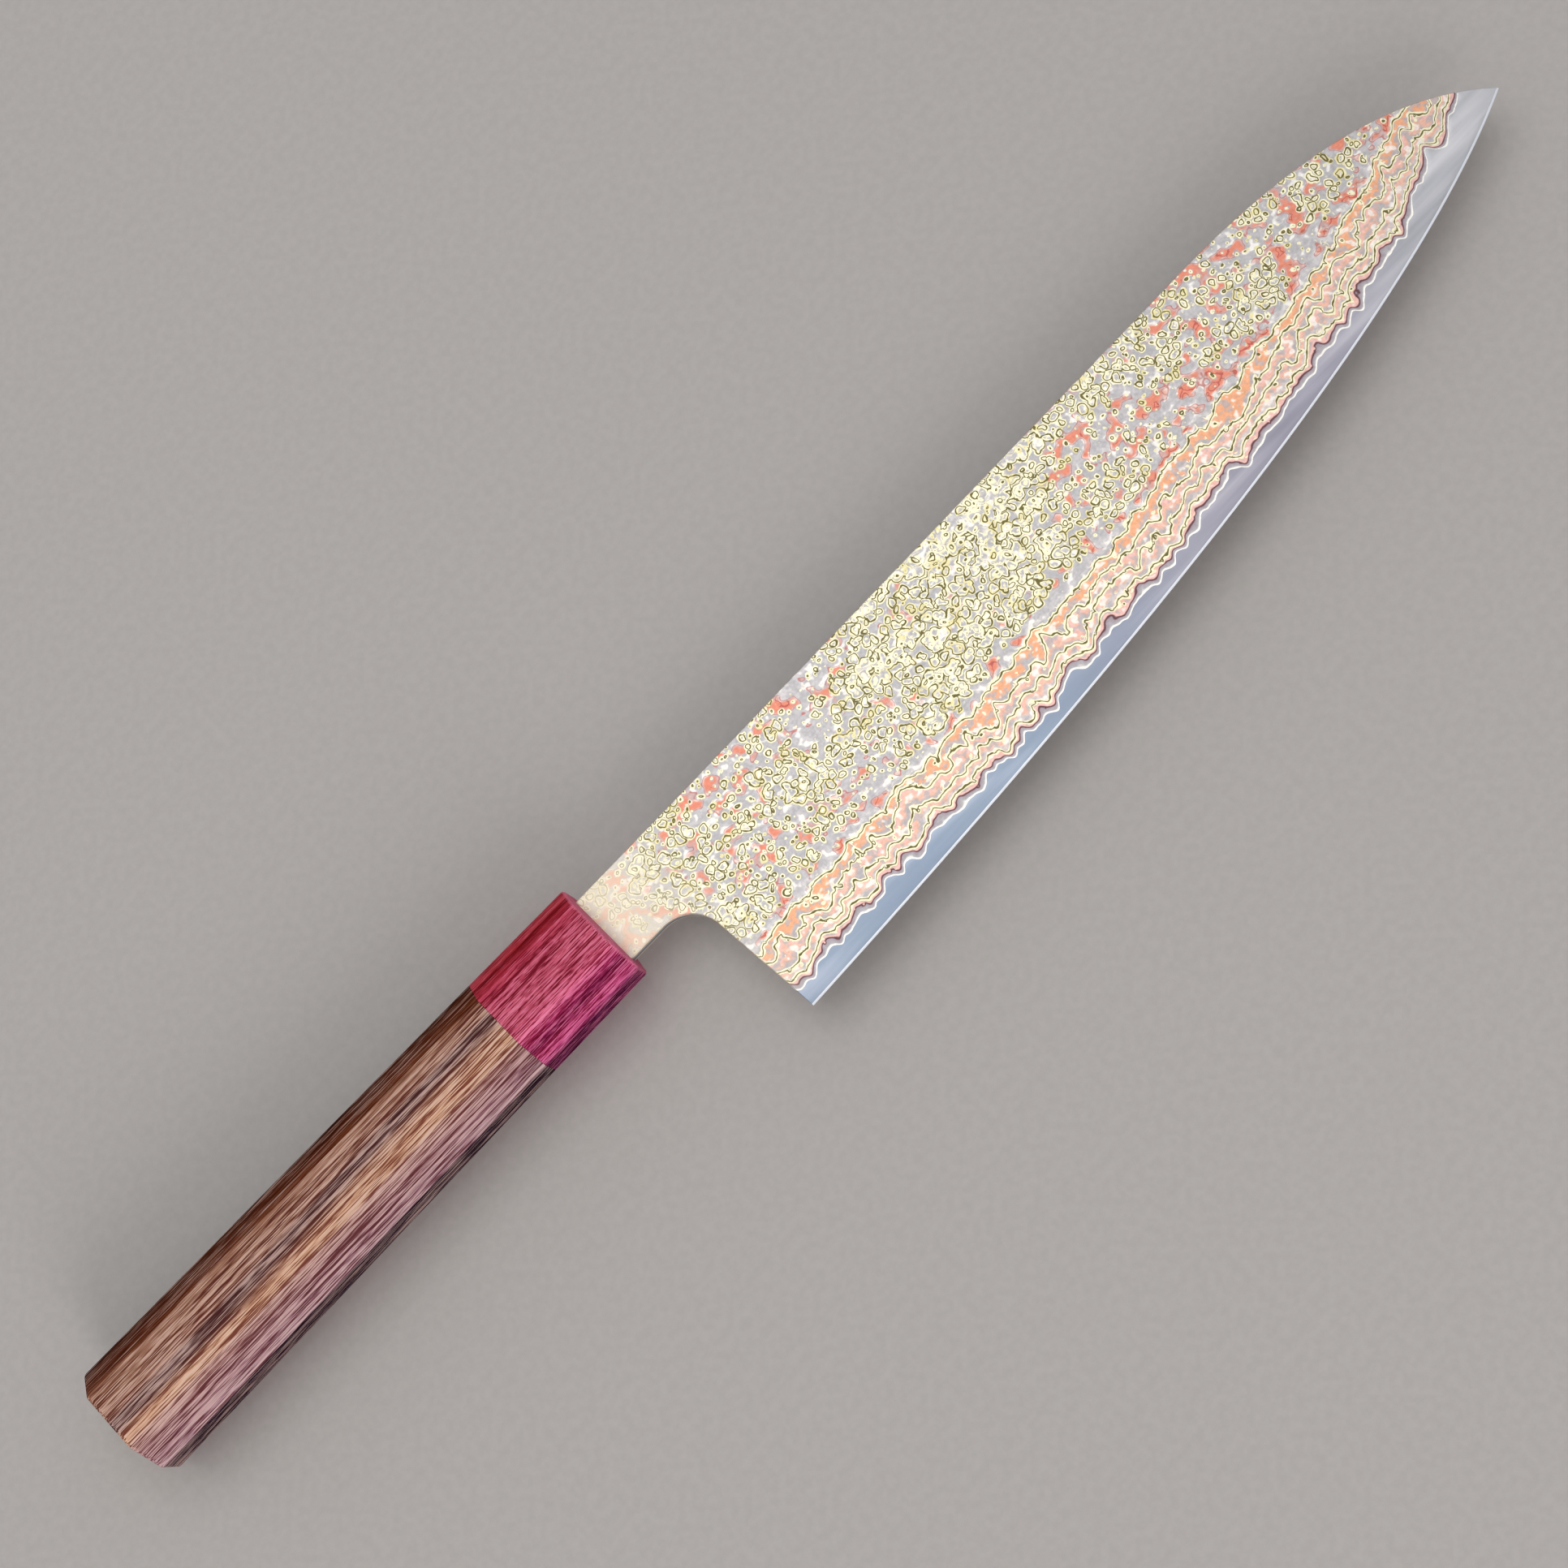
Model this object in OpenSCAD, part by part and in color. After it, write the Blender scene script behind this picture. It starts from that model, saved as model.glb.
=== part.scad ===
// Japanese chef knife: a laminated gyuto blade with an octagonal wooden handle.
// The knife lies on its left side. +X runs to the tip, +Y to the spine, +Z out of the right face.
// Everything is drawn with the middle of the ferrule's front face at zero, then moved once, so that
// the origin is the bottom centre of the whole knife's bounding box.

/* [Blade] */
// Length from heel to tip
blade_length = 240; // [210:5:270]
// Height at the heel, from edge to spine
blade_height = 52.8; // [48:0.2:56]
// Height of the tip above the level of the heel
tip_height = 31.5; // [28:0.5:34]
// How far the spine rises from the ferrule to where it starts to fall to the tip
spine_rise = 0.8; // [0:0.1:1.5]
// Distance from the ferrule to the heel
neck_length = 20; // [19:0.5:24]
// Height of the neck between the ferrule and the choil
neck_height = 17.8; // [14:0.2:20]
// Radius of the choil, the rounded corner under the neck
choil_radius = 8.8; // [6:0.1:10]
// How far the back of the heel leans forwards from the choil to the edge
heel_lean = 1.8; // [0.5:0.1:3]

/* [Blade section] */
// Thickness where the neck meets the ferrule
neck_thickness = 3.2; // [2.8:0.1:3.6]
// Thickness of the spine just ahead of the heel
heel_thickness = 2.4; // [2:0.1:2.8]
// Thickness of the spine at mid length
middle_thickness = 2; // [1.6:0.1:2.4]
// Thickness of the spine at the tip
tip_thickness = 1; // [0.8:0.1:1.4]
// Height of the ground bevel above the edge
bevel_height = 26; // [22:1:30]
// How strongly the bevel rounds over: 1 is a flat wedge
bevel_curve = 2.3; // [1:0.1:3]
// Share of the blade's thickness that is core steel
core_share = 0.34; // [0.25:0.01:0.45]
// Height of the sharpened strip along the edge
sharpened_height = 0.5; // [0.3:0.1:0.8]
// Thickness of the core at the top of the sharpened strip
sharpened_thickness = 0.24; // [0.16:0.02:0.3]

/* [Handle] */
// Length of the whole handle, ferrule included
handle_length = 145.5; // [135:0.5:150]
// Length of the ferrule
ferrule_length = 28.5; // [24:0.5:34]
// Height of the octagon at the front
front_height = 24.2; // [22:0.2:26]
// Thickness of the octagon at the front
front_thickness = 21; // [19:0.2:23]
// Height of the octagon at the butt
butt_height = 27; // [25:0.2:29]
// Thickness of the octagon at the butt
butt_thickness = 24.4; // [22:0.2:26]
// Small bevel around the front end of the ferrule
front_bevel = 0.8; // [0.4:0.1:1.5]
// Small bevel around the butt end
butt_bevel = 1.2; // [0.4:0.1:2]

/* [Inside the handle] */
// Diameter of the dowel that joins the ferrule and the handle body
dowel_diameter = 13; // [11:0.5:14]
// Length of the dowel
dowel_length = 84; // [60:1:100]
// Thickness of the ferrule's front wall, which the tang passes through a slot in
front_wall = 6; // [4:0.5:8]
// Length of the tang behind the ferrule's front face
tang_length = 74; // [55:1:80]
// Height of the tang at the neck
tang_height = 11; // [9:0.5:12]
// Thickness of the tang
tang_thickness = 2.4; // [2:0.1:2.6]
// Room for adhesive around the tang
adhesive_gap = 0.3; // [0.2:0.05:0.5]

/* [Hidden] */
// Cladding sheets on each side of the core, from the core outwards: name, relative thickness, colour
SHEETS = [
    ["nickel_foil", 0.4, "ghostwhite"],
    ["inner_steel", 1.0, "lightsteelblue"],
    ["inner_copper", 1.0, "lightsalmon"],
    ["inner_brass", 0.8, "palegoldenrod"],
    ["middle_steel", 1.0, "silver"],
    ["outer_copper", 1.1, "sandybrown"],
    ["outer_brass", 0.8, "khaki"],
    ["face_steel", 1.2, "gainsboro"]
];
SIDES = ["right", "left"];
$fn = 96;

// Main points of the blade's outline, in the plane of the blade
neck_top = neck_height / 2;
heel = [neck_length, neck_top - blade_height];
tip = [neck_length + blade_length, heel.y + tip_height];
choil_end = [neck_length - heel_lean, -neck_top - choil_radius];
spine_end = [neck_length + 0.65 * blade_length, neck_top + spine_rise];

// Four control points each for the edge and for the fall of the spine to the tip
edge_curve = [
    heel,
    heel + [blade_length / 3, 0.09 * tip_height],
    tip - [0.21 * blade_length, 0.71 * tip_height],
    tip
];
spine_curve = [
    spine_end,
    spine_end + [blade_length / 15, 0],
    tip + [-0.09 * blade_length, 0.465 * blade_height],
    tip
];

// Steps along the curves, and how far the raw laminations stand over the finished outline
edge_steps = 22;
spine_steps = 14;
choil_steps = 8;
trim = 6;

// Share of each octagon side that its corner facets take
corner_height_share = 0.237;
corner_thickness_share = 0.33;

// Size of the slot that the tang sits in
slot_height = tang_height + 2 * adhesive_gap;
slot_thickness = tang_thickness + 2 * adhesive_gap;
dowel_start = -front_wall;
dowel_end = dowel_start - dowel_length;
tang_end_height = 0.6 * tang_height;

// Ring of the octagon at a place along the handle, made smaller all round by an inset
function octagon(x, inset = 0) =
    let (
        back = -x / handle_length,
        h = front_height + (butt_height - front_height) * back,
        w = front_thickness + (butt_thickness - front_thickness) * back,
        y = [h / 2 - inset, h / 2 - corner_height_share * h],
        z = [w / 2 - corner_thickness_share * w, w / 2 - inset]
    )
    [
        [x, y[0], z[0]], [x, y[1], z[1]], [x, -y[1], z[1]], [x, -y[0], z[0]],
        [x, -y[0], -z[0]], [x, -y[1], -z[1]], [x, y[1], -z[1]], [x, y[0], -z[0]]
    ];

// Moves the middle of the ferrule's front face to its place over the origin at the bottom centre
widest_ring = octagon(butt_bevel - handle_length);
base_shift = [
    (handle_length - tip.x) / 2,
    -(widest_ring[0].y + heel.y) / 2,
    widest_ring[1].z
];

// Point at t, from 0 to 1, on the curve through four control points
function bezier(c, t) =
    pow(1 - t, 3) * c[0] + 3 * pow(1 - t, 2) * t * c[1] + 3 * (1 - t) * t * t * c[2] + pow(t, 3) * c[3];

function bezier_points(c, steps) = [for (i = [0 : steps]) bezier(c, i / steps)];

// Direction of a curve at one of its ends, as a unit vector
function direction(from, to) = (to - from) / norm(to - from);

// Thickness of the blade at a distance from the ferrule
function blade_thickness(x) = lookup(x, [
    [0, neck_thickness],
    [neck_length + 10, heel_thickness],
    [neck_length + blade_length / 2, middle_thickness],
    [tip.x, tip_thickness]
]);

// Height above the edge at which a layer, at a share of the full thickness, comes out of the bevel
function bevel_height_at(share) = bevel_height * (1 - pow(1 - share, 1 / bevel_curve));

// Share of the blade's thickness that lies inside the first sheets, up to a sheet's outer face
function thickness_sum(count) = count == 0 ? 0 : SHEETS[count - 1][1] + thickness_sum(count - 1);
function layer_share(count) =
    core_share + (1 - core_share) * thickness_sum(count) / thickness_sum(len(SHEETS));

// The edge line that all laminations follow, carried on straight past the heel and the tip
function edge_line() = concat(
    [heel - (neck_length + trim) * direction(edge_curve[0], edge_curve[1])],
    bezier_points(edge_curve, edge_steps),
    [tip + trim * direction(edge_curve[2], edge_curve[3])]
);

// The finished outline, left open below the edge, where the laminations end by themselves
function outline() = concat(
    [[0, -neck_top]],
    [for (i = [0 : choil_steps])
        let (a = 90 * i / choil_steps)
        choil_end + choil_radius * [sin(a) - 1, cos(a)]],
    [heel + trim * direction(choil_end, heel)],
    [[tip.x + trim, heel.y - trim]],
    [tip + trim * direction(spine_curve[2], spine_curve[3])],
    [for (i = [0 : spine_steps]) bezier(spine_curve, 1 - i / spine_steps)],
    [[0, neck_top]]
);

// Solid through rings of points that all have the same number of points
module loft(rings) {
    count = len(rings[0]);
    last = len(rings) - 1;
    walls = [for (i = [0 : last - 1], j = [0 : count - 1])
        let (a = i * count + j, b = i * count + (j + 1) % count)
        each [[a, b, b + count], [a, b + count, a + count]]];
    first_cap = [for (j = [0 : count - 1]) count - 1 - j];
    last_cap = [for (j = [0 : count - 1]) last * count + j];
    polyhedron([for (ring = rings) each ring], concat(walls, [first_cap], [last_cap]));
}

// Cuts raw laminations to the blade's outline
module cut_to_outline() {
    intersection() {
        children();
        linear_extrude(neck_thickness + 2, center = true) polygon(outline());
    }
}

// Places a piece of the knife over the origin
module placed() {
    translate(base_shift) children();
}

module core_steel() {
    roof = neck_top + trim;
    rise = bevel_height_at(core_share);
    half_strip = sharpened_thickness / 2;
    color("slategray") placed() cut_to_outline() loft([
        for (p = edge_line())
        let (half = core_share * blade_thickness(p.x) / 2)
        [
            [p.x, p.y, 0],
            [p.x, p.y + sharpened_height, half_strip],
            [p.x, p.y + rise, half],
            [p.x, roof, half],
            [p.x, roof, -half],
            [p.x, p.y + rise, -half],
            [p.x, p.y + sharpened_height, -half_strip]
        ]
    ]);
}

// One sheet of the right side; the left side is its mirror image
module cladding_sheet(side, index) {
    roof = neck_top + bevel_height + trim;
    inner = layer_share(index);
    outer = layer_share(index + 1);
    flip = side == "left" ? 1 : 0;
    color(SHEETS[index][2]) placed() mirror([0, 0, flip]) cut_to_outline() loft([
        for (p = edge_line())
        let (half = blade_thickness(p.x) / 2)
        [
            [p.x, p.y + bevel_height_at(inner), inner * half],
            [p.x, p.y + bevel_height_at(outer), outer * half],
            [p.x, roof, outer * half],
            [p.x, roof, inner * half]
        ]
    ]);
}

// Side view of the tang, with its back end narrowed
module tang_profile() {
    polygon([
        [0, -tang_height / 2],
        [-front_wall, -tang_height / 2],
        [-tang_length, -tang_end_height / 2],
        [-tang_length, tang_end_height / 2],
        [-front_wall, tang_height / 2],
        [0, tang_height / 2]
    ]);
}

module tang_bar() {
    linear_extrude(tang_thickness, center = true) tang_profile();
}

module tang() {
    color("lightslategray") placed() tang_bar();
}

// Round bar along the handle's axis, between two places behind the ferrule's front face
module axial_bar(from, to, diameter) {
    translate([to, 0, 0]) rotate([0, 90, 0]) cylinder(h = from - to, d = diameter);
}

// Room that is cut for the tang: a slot in the ferrule's front wall, then a saw cut in the dowel
module tang_slot() {
    translate([-front_wall, -slot_height / 2, -slot_thickness / 2])
        cube([front_wall, slot_height, slot_thickness]);
}

module dowel_saw_cut() {
    cut_length = tang_length + adhesive_gap - front_wall;
    translate([dowel_start - cut_length, -dowel_diameter, -slot_thickness / 2])
        cube([cut_length, 2 * dowel_diameter, slot_thickness]);
}

module tang_adhesive() {
    color("wheat") placed() difference() {
        union() {
            tang_slot();
            intersection() {
                axial_bar(dowel_start, dowel_end, dowel_diameter);
                dowel_saw_cut();
            }
        }
        tang_bar();
    }
}

module handle_dowel() {
    color("burlywood") placed() difference() {
        axial_bar(dowel_start, dowel_end, dowel_diameter);
        dowel_saw_cut();
    }
}

module ferrule() {
    color("mediumvioletred") placed() difference() {
        loft([octagon(-ferrule_length), octagon(-front_bevel), octagon(0, front_bevel)]);
        tang_slot();
        axial_bar(dowel_start, -ferrule_length, dowel_diameter);
    }
}

module handle_body() {
    color("rosybrown") placed() difference() {
        loft([
            octagon(-handle_length, butt_bevel),
            octagon(butt_bevel - handle_length),
            octagon(-ferrule_length)
        ]);
        axial_bar(-ferrule_length, dowel_end, dowel_diameter);
    }
}

core_steel();
for (side = SIDES, i = [0 : len(SHEETS) - 1])
    cladding_sheet(side, i);
tang();
tang_adhesive();
handle_dowel();
ferrule();
handle_body();
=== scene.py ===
"""Looks of a laminated Japanese chef knife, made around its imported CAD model.

Shapes are worked out in millimetres in the knife's own coordinates, and place() turns them into metres
in the row frame. x runs to the tip from the ferrule's front face, y runs to the spine from the handle's
axis, and z runs out of the right face from the middle of the blade.
"""
from math import atan2, cos, hypot, pi, radians, sin, sqrt

import bmesh
import bpy
import numpy as np
from mathutils import Matrix, Vector, noise


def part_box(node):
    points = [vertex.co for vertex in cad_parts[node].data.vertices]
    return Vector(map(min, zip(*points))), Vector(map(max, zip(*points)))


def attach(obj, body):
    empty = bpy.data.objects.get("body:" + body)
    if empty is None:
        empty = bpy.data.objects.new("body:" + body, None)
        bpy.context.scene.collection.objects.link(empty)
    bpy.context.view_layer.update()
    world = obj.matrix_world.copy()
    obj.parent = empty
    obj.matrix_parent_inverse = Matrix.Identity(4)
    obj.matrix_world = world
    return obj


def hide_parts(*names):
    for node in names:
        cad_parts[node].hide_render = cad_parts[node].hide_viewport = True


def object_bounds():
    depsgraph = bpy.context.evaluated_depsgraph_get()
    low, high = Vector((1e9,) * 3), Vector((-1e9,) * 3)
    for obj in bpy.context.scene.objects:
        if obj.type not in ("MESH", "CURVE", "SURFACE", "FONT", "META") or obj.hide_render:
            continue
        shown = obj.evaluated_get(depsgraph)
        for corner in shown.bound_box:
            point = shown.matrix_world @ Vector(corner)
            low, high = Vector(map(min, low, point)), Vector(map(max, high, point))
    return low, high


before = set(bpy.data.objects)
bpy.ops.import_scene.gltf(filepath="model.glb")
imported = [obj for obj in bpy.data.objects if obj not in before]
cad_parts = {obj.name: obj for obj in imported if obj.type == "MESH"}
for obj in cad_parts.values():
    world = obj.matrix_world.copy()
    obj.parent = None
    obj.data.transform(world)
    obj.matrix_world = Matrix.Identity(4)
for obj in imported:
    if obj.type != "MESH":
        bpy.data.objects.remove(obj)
cad_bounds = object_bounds()

MM = 0.001
SHEET_NAMES = (
    "nickel_foil", "inner_steel", "inner_copper", "inner_brass",
    "middle_steel", "outer_copper", "outer_brass", "face_steel",
)

# The frame gives the places that the CAD model sets.
FERRULE_LOW, FERRULE_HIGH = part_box("ferrule")
BODY_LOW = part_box("handle_body")[0]
CORE_LOW, CORE_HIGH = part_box("core_steel")
DOWEL_LOW, DOWEL_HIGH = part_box("handle_dowel")
ORIGIN = Vector((
    FERRULE_HIGH.x,
    (FERRULE_LOW.y + FERRULE_HIGH.y) / 2,
    (CORE_LOW.z + CORE_HIGH.z) / 2,
))


def along(x):
    """Distance in millimetres from the ferrule's front face to a place in the row frame."""
    return (x - ORIGIN.x) / MM


# Outline of the blade
NECK_LENGTH = 20.0
NECK_HEIGHT = 17.8
CHOIL_RADIUS = 8.8
HEEL_LEAN = 1.8
TIP_RISE = 31.5
TIP_X = along(CORE_HIGH.x)
HEEL_Y = (CORE_LOW.y - ORIGIN.y) / MM
SPINE_Y = (CORE_HIGH.y - ORIGIN.y) / MM
BLADE_LENGTH = TIP_X - NECK_LENGTH
BLADE_HEIGHT = NECK_HEIGHT / 2 - HEEL_Y
SPINE_END_X = NECK_LENGTH + 0.65 * BLADE_LENGTH
HEEL = np.array((NECK_LENGTH, HEEL_Y))
TIP = np.array((TIP_X, HEEL_Y + TIP_RISE))
SPINE_END = np.array((SPINE_END_X, SPINE_Y))
CHOIL_X = NECK_LENGTH - HEEL_LEAN
CHOIL_CENTRE = np.array((CHOIL_X - CHOIL_RADIUS, -NECK_HEIGHT / 2 - CHOIL_RADIUS))

# Cross-section of the blade
THICKNESS_PLACES = (0.0, NECK_LENGTH + 10, NECK_LENGTH + BLADE_LENGTH / 2, TIP_X)
THICKNESSES = (3.2, 2.4, 2.0, 1.0)
BEVEL_HEIGHT = 26.0
BEVEL_CURVE = 2.3
CORE_SHARE = 0.34
EDGE_SWELL = 0.08
EDGE_SWELL_HEIGHT = 6.0
SHARPENED_HEIGHT = 0.45
EDGE_HALF = 0.02
# Rounding of the rims, and the largest share of the half thickness that it may take
EASING = 0.28
EASING_SHARE = 0.35

# Where the core steel comes out from under the cladding: height above the edge, along and at the tip
CORE_LINE_HEIGHT = 4.3
CORE_LINE_AT_TIP = 8.2
# Least thickness of the cladding, and the height above its start over which it grows to that
LEAST_CLADDING = 0.03
LEAST_CLADDING_RISE = 0.3
# The cladding ends at the tip where less than this height of it is left
LEAST_CLADDING_HEIGHT = 0.3
# Height over which the core thins to its full depth under the cladding
CORE_STEP = 3
# Layers of the stack from the core line to the flat of the blade
LAYERS = 6.8

# The octagonal handle
HANDLE_LENGTH = -along(BODY_LOW.x)
FERRULE_LENGTH = -along(FERRULE_LOW.x)
FRONT_SIZE = (24.2, 21.0)
BUTT_SIZE = (27.0, 24.4)
CORNER_SHARES = (0.237, 0.33)
FRONT_ROUNDING = 0.8
BUTT_ROUNDING = 1.2
JOINT_ROUNDING = 0.12
RIDGE_RADIUS = 0.9
RIDGE_STEPS = 5
RIDGE_SHARE = 0.05
FRONT_WALL = -along(DOWEL_HIGH.x)
DOWEL_RADIUS = (DOWEL_HIGH.z - DOWEL_LOW.z) / MM / 2
DOWEL_END = -along(DOWEL_LOW.x)
SLOT_SIZE = (11.6, 3.0)


def place(point):
    """A point in knife millimetres, as a place in the row frame."""
    return ORIGIN + Vector(point) * MM


def smooth(value, start, end):
    """Goes smoothly from 0 at start to 1 at end."""
    t = np.clip((value - start) / (end - start), 0, 1)
    return t * t * (3 - 2 * t)


# ---------------------------------------------------------------- meshes

def add_piece(name, mesh):
    piece = bpy.data.objects.new(name, mesh)
    bpy.context.scene.collection.objects.link(piece)
    return piece


def ring_verts(bm, rings, mark_name, marks):
    """Vertices for rings of points, with their marks as a vertex attribute."""
    mark_layer = bm.verts.layers.float.new(mark_name)
    rows = []
    for ring, ring_marks in zip(rings, marks):
        row = [bm.verts.new(place(point)) for point in ring]
        for vert, mark in zip(row, ring_marks):
            vert[mark_layer] = mark
        rows.append(row)
    return rows


def clean_mesh(name, bm, sharp_angle):
    """A mesh without collapsed faces, smooth but for edges sharper than an angle in degrees."""
    bmesh.ops.remove_doubles(bm, verts=bm.verts, dist=0.0002 * MM)
    bmesh.ops.dissolve_degenerate(bm, edges=bm.edges, dist=0.0001 * MM)
    bmesh.ops.recalc_face_normals(bm, faces=bm.faces)
    mesh = bpy.data.meshes.new(name)
    bm.to_mesh(mesh)
    bm.free()
    mesh.shade_smooth()
    mesh.set_sharp_from_angle(angle=radians(sharp_angle))
    return mesh


def loft(name, rings, mark_name, marks, wrap=False, sharp_angle=30):
    """A closed piece through rings of points that all have the same number of points.

    marks holds a number for each point, which the mesh keeps as the attribute mark_name.
    wrap joins the last ring to the first one; otherwise both ends are capped.
    """
    bm = bmesh.new()
    rows = ring_verts(bm, rings, mark_name, marks)
    for near, far in zip(rows, rows[1:] + rows[:1] if wrap else rows[1:]):
        for j in range(len(near)):
            k = (j + 1) % len(near)
            bm.faces.new((near[j], near[k], far[k], far[j]))
    if not wrap:
        bm.faces.new(reversed(rows[0]))
        bm.faces.new(rows[-1])
    return add_piece(name, clean_mesh(name, bm, sharp_angle))


# ---------------------------------------------------------------- blade outline

def bezier(points, t):
    """Points at t, from 0 to 1, on the curve through four control points."""
    a, b, c, d = (np.array(point) for point in points)
    t = t[:, None]
    return (1 - t) ** 3 * a + 3 * (1 - t) ** 2 * t * b + 3 * (1 - t) * t * t * c + t ** 3 * d


CURVE_STEPS = np.linspace(0, 1, 400)
EDGE = bezier((
    HEEL,
    HEEL + (BLADE_LENGTH / 3, 0.09 * TIP_RISE),
    TIP - (0.21 * BLADE_LENGTH, 0.71 * TIP_RISE),
    TIP,
), CURVE_STEPS)
SPINE_FALL = bezier((
    SPINE_END,
    SPINE_END + (BLADE_LENGTH / 15, 0),
    TIP + (-0.09 * BLADE_LENGTH, 0.465 * BLADE_HEIGHT),
    TIP,
), CURVE_STEPS)
EDGE_SLOPE = 3 * 0.09 * TIP_RISE / BLADE_LENGTH


def edge_y(x):
    """Height of the cutting edge's line, which runs on straight behind the heel."""
    return HEEL_Y + (x - NECK_LENGTH) * EDGE_SLOPE if x < NECK_LENGTH else np.interp(x, *EDGE.T)


def spine_y(x):
    if x > SPINE_END_X:
        return np.interp(x, *SPINE_FALL.T)
    return NECK_HEIGHT / 2 + (SPINE_Y - NECK_HEIGHT / 2) * x / SPINE_END_X


def lower_y(x):
    """Lower outline: the neck, the round choil, the back of the heel and then the edge."""
    if x <= CHOIL_CENTRE[0]:
        return -NECK_HEIGHT / 2
    if x <= CHOIL_X:
        return CHOIL_CENTRE[1] + sqrt(max(0, CHOIL_RADIUS ** 2 - (x - CHOIL_CENTRE[0]) ** 2))
    if x < NECK_LENGTH:
        return CHOIL_CENTRE[1] + (HEEL_Y - CHOIL_CENTRE[1]) * (x - CHOIL_X) / HEEL_LEAN
    return edge_y(x)


def outline_points():
    """Closely spaced points along the outline's eased part, for distances from it."""
    angles = np.linspace(0, pi / 2, 60)
    choil = CHOIL_CENTRE + CHOIL_RADIUS * np.stack((np.sin(angles), np.cos(angles)), 1)
    heel_back = np.linspace(choil[-1], HEEL, 260)[:-4]
    neck = np.linspace((0, -NECK_HEIGHT / 2), choil[0], 90)
    spine = np.linspace((0, NECK_HEIGHT / 2), SPINE_END, 1500)
    return np.concatenate((neck, choil, heel_back)), np.concatenate((spine, SPINE_FALL))


LOWER_LINE, SPINE_LINE = outline_points()


def line_distance(line, points):
    """Distance of each point to the nearest stretch of a line of points."""
    near = line[np.abs(line[:, 0] - points[0, 0]) < 4]
    if len(near) < 2:
        return np.full(len(points), 100.0)
    start, step = near[:-1], np.diff(near, axis=0)
    gap = points[:, None] - start
    share = np.clip((gap * step).sum(2) / np.maximum((step ** 2).sum(1), 1e-12), 0, 1)
    return np.sqrt(((gap - share[..., None] * step) ** 2).sum(2)).min(1)


# ---------------------------------------------------------------- blade section

def thickness(x):
    return np.interp(x, THICKNESS_PLACES, THICKNESSES)


def half_thickness(x, height):
    """Half of the blade's thickness at heights above the edge, before its rims are eased."""
    height = np.maximum(height, 0)
    rounding = 1 - (1 - np.clip(height / BEVEL_HEIGHT, 0, 1)) ** BEVEL_CURVE
    half = thickness(x) / 2 * rounding + EDGE_SWELL * np.clip(1 - height / EDGE_SWELL_HEIGHT, 0, 1)
    shoulder = thickness(x) / 2 * (1 - (1 - SHARPENED_HEIGHT / BEVEL_HEIGHT) ** BEVEL_CURVE)
    shoulder += EDGE_SWELL * (1 - SHARPENED_HEIGHT / EDGE_SWELL_HEIGHT)
    strip = EDGE_HALF + (shoulder - EDGE_HALF) * height / SHARPENED_HEIGHT
    return np.where(height < SHARPENED_HEIGHT, strip, half)


def eased(x, y, half):
    """Half thicknesses with the sharp rims of the spine, the neck and the choil rounded over."""
    points = np.stack((np.full(len(y), x), y), 1)
    gap = np.minimum(line_distance(LOWER_LINE, points), line_distance(SPINE_LINE, points))
    radius = np.minimum(EASING, EASING_SHARE * half)
    inside = np.clip(radius - gap, 0, radius)
    return half - radius + np.sqrt(radius ** 2 - inside ** 2)


def core_line(x, side):
    """Height above the edge at which the cladding starts: a wavy line, higher at the tip."""
    def wave(length, shift):
        return noise.noise(Vector((x / length, shift, 7.3 * side)))

    waves = 1.4 * wave(7.0, 1.7) + 1.9 * wave(3.4, 5.2) + 0.8 * wave(1.8, 9.4)
    slow = 0.9 * wave(31.0, 3.1)
    rise = (CORE_LINE_AT_TIP - CORE_LINE_HEIGHT) * smooth(x, TIP_X - 45, TIP_X - 6)
    return CORE_LINE_HEIGHT + waves * (1 + 0.5 * smooth(x, TIP_X - 60, TIP_X - 10)) + slow + rise


def covered_half(x, y, line_height):
    """Half thickness of the core where cladding covers it, always inside the cladding's own face."""
    height = y - edge_y(x)
    face = eased(x, y, half_thickness(x, height))
    start = half_thickness(x, line_height)
    full = CORE_SHARE * thickness(x) / 2
    core = start + (full - start) * smooth(height, line_height, line_height + CORE_STEP)
    share = np.clip((height - line_height) / LEAST_CLADDING_RISE, 0, 1)
    return np.minimum(core, face - np.minimum(LEAST_CLADDING, 0.5 * face) * share)


def blade_columns():
    """Places along the blade for its cross-sections, closest where the outline is steep."""
    turn = np.linspace(0, pi / 2, 20)
    return np.unique(np.round(np.concatenate((
        np.linspace(0, CHOIL_CENTRE[0], 14),
        CHOIL_CENTRE[0] + CHOIL_RADIUS * np.sin(turn),
        np.linspace(CHOIL_X, NECK_LENGTH + 0.4, 30),
        np.arange(NECK_LENGTH + 0.6, TIP_X - 1, 0.36),
        np.linspace(TIP_X - 1, TIP_X, 8),
    )), 4))


# Distances in millimetres from a rim to the rows that follow its rounding
END_ROWS = (0, 0.04, 0.1, 0.19, 0.32, 0.6)
# Rows up the bare core, as shares of its height. The second and third move to the sharpened strip.
EXPOSED_ROWS = (0, 0.07, 0.13, 0.2, 0.4, 0.6, 0.8, 1.0)


def rows_between(low, high, middle_count):
    """Heights from low to high, closer together near both ends."""
    ends = np.array(END_ROWS) * min(1, (high - low) / 4)
    middle = np.linspace(low + ends[-1], high - ends[-1], middle_count + 2)[1:-1]
    return np.concatenate((low + ends, middle, high - ends[::-1]))


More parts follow.
